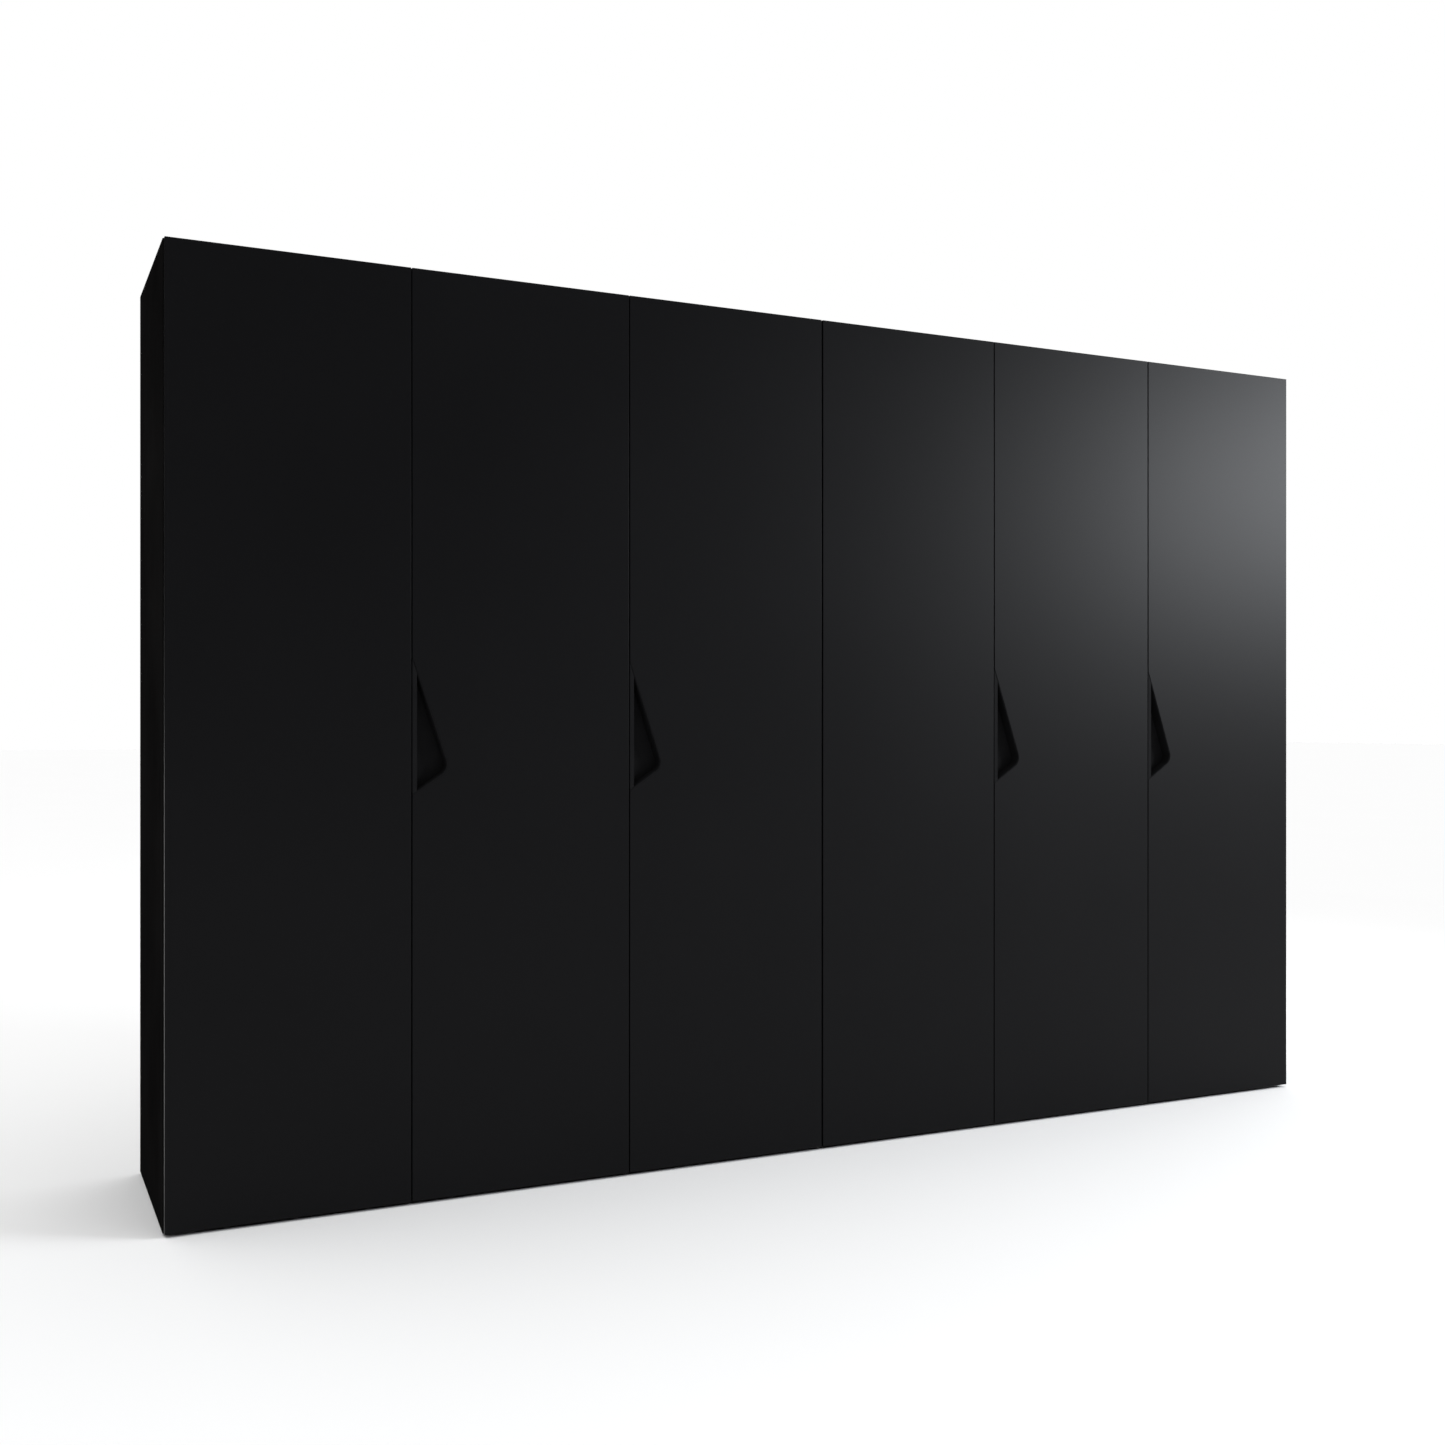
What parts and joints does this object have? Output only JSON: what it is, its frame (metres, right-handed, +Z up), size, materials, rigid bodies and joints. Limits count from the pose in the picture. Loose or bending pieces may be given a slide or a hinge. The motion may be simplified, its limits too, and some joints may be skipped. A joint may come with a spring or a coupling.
{
  "type": "wardrobe with hinged doors",
  "caption": "Wide wardrobe with full-height hinged doors, slanted recessed finger pulls, hanging space, hat shelves and shelved bays.",
  "frame": {"origin": "floor level under the middle of the closed wardrobe", "axes": "+Z up, -Y is the door side, +X to the right of someone facing the doors"},
  "size_m": [3, 0.5, 2],
  "materials": {
    "door_lacquer": "black satin lacquer",
    "carcass_board": "black melamine, fine grain",
    "inner_board": "graphite melamine, linen pressing",
    "back_board": "graphite laminated fibreboard",
    "handle_plastic": "matt black moulding",
    "hinge_steel": "nickel plated",
    "fitting_zinc": "zinc plated",
    "screw_steel": "zinc plated",
    "rail_aluminium": "satin anodised",
    "dowel_beech": "raw beech",
    "bumper_pad": "soft translucent pad",
    "glide_plastic": "black polyethylene"
  },
  "bodies": {
    "carcass": {"side_left_1": "carcass_board", "side_right_1": "carcass_board", "top_1": "carcass_board", "bottom_1": "carcass_board", "plinth_1": "carcass_board", "partition_1": "inner_board", "hat_shelf_1": "inner_board", "shelves_1": "inner_board", "back_wide_1": "back_board", "back_narrow_1": "back_board", "side_left_2": "carcass_board", "side_right_2": "carcass_board", "top_2": "carcass_board", "bottom_2": "carcass_board", "plinth_2": "carcass_board", "partition_2": "inner_board", "hat_shelf_2": "inner_board", "shelves_2": "inner_board", "back_wide_2": "back_board", "back_narrow_2": "back_board", "hanging_rails": "rail_aluminium", "rail_holders": "fitting_zinc", "cam_locks": "fitting_zinc", "cam_studs": "screw_steel", "dowels": "dowel_beech", "shelf_pins": "fitting_zinc", "hinge_arms": "hinge_steel", "hinge_plates": "hinge_steel", "hinge_pins": "hinge_steel", "carcass_screws": "screw_steel", "wall_brackets": "fitting_zinc", "unit_connectors": "fitting_zinc", "door_bumpers": "bumper_pad", "glides": "glide_plastic"},
    "leaf_1": {"door_1": "door_lacquer", "hinge_cups_1": "hinge_steel", "cup_screws_1": "screw_steel"},
    "leaf_2": {"door_2": "door_lacquer", "hinge_cups_2": "hinge_steel", "cup_screws_2": "screw_steel", "handle_shell_2": "handle_plastic", "handle_screws_2": "screw_steel"},
    "leaf_3": {"door_3": "door_lacquer", "hinge_cups_3": "hinge_steel", "cup_screws_3": "screw_steel", "handle_shell_3": "handle_plastic", "handle_screws_3": "screw_steel"},
    "leaf_4": {"door_4": "door_lacquer", "hinge_cups_4": "hinge_steel", "cup_screws_4": "screw_steel"},
    "leaf_5": {"door_5": "door_lacquer", "hinge_cups_5": "hinge_steel", "cup_screws_5": "screw_steel", "handle_shell_5": "handle_plastic", "handle_screws_5": "screw_steel"},
    "leaf_6": {"door_6": "door_lacquer", "hinge_cups_6": "hinge_steel", "cup_screws_6": "screw_steel", "handle_shell_6": "handle_plastic", "handle_screws_6": "screw_steel"}
  },
  "joints": [
    {"name": "door_1_swing", "type": "hinge", "parent": "carcass", "child": "leaf_1", "pos_m": [-1.4905, -0.2437, 1], "axis": [0, 0, -1], "range_deg": [0, 90]},
    {"name": "door_2_swing", "type": "hinge", "parent": "carcass", "child": "leaf_2", "pos_m": [-0.509, -0.2437, 1], "axis": [0, 0, 1], "range_deg": [0, 90]},
    {"name": "door_3_swing", "type": "hinge", "parent": "carcass", "child": "leaf_3", "pos_m": [-0.0095, -0.2437, 1], "axis": [0, 0, 1], "range_deg": [0, 90]},
    {"name": "door_4_swing", "type": "hinge", "parent": "carcass", "child": "leaf_4", "pos_m": [0.0095, -0.2437, 1], "axis": [0, 0, -1], "range_deg": [0, 90]},
    {"name": "door_5_swing", "type": "hinge", "parent": "carcass", "child": "leaf_5", "pos_m": [0.991, -0.2437, 1], "axis": [0, 0, 1], "range_deg": [0, 90]},
    {"name": "door_6_swing", "type": "hinge", "parent": "carcass", "child": "leaf_6", "pos_m": [1.4905, -0.2437, 1], "axis": [0, 0, 1], "range_deg": [0, 90]}
  ]
}
